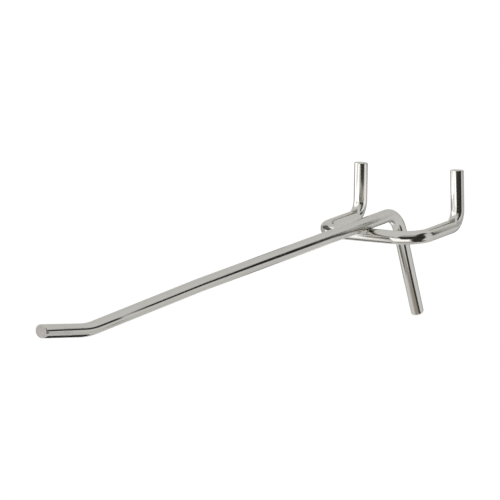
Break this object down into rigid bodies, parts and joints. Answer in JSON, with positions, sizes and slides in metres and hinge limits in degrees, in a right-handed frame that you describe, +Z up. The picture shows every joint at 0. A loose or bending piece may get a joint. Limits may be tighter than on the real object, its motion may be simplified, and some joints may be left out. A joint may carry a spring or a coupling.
{
  "type": "screwdriver hook",
  "caption": "Long wire hook for perforated board: a level arm with a raised tip, a slanting rear leg and a flat yoke with upturned prongs.",
  "frame": {"origin": "midway between the prong axes, on the centre plane of the flat yoke", "axes": "+X right, +Y towards the board, +Z up; the arm runs out along -Y"},
  "size_m": [0.0286, 0.1834, 0.0362],
  "materials": {
    "bright_plate": "bright plated steel wire with faint drawing lines and duller sheared ends"
  },
  "bodies": {
    "root": {"arm_wire": "bright_plate", "yoke_wire": "bright_plate"}
  },
  "joints": []
}
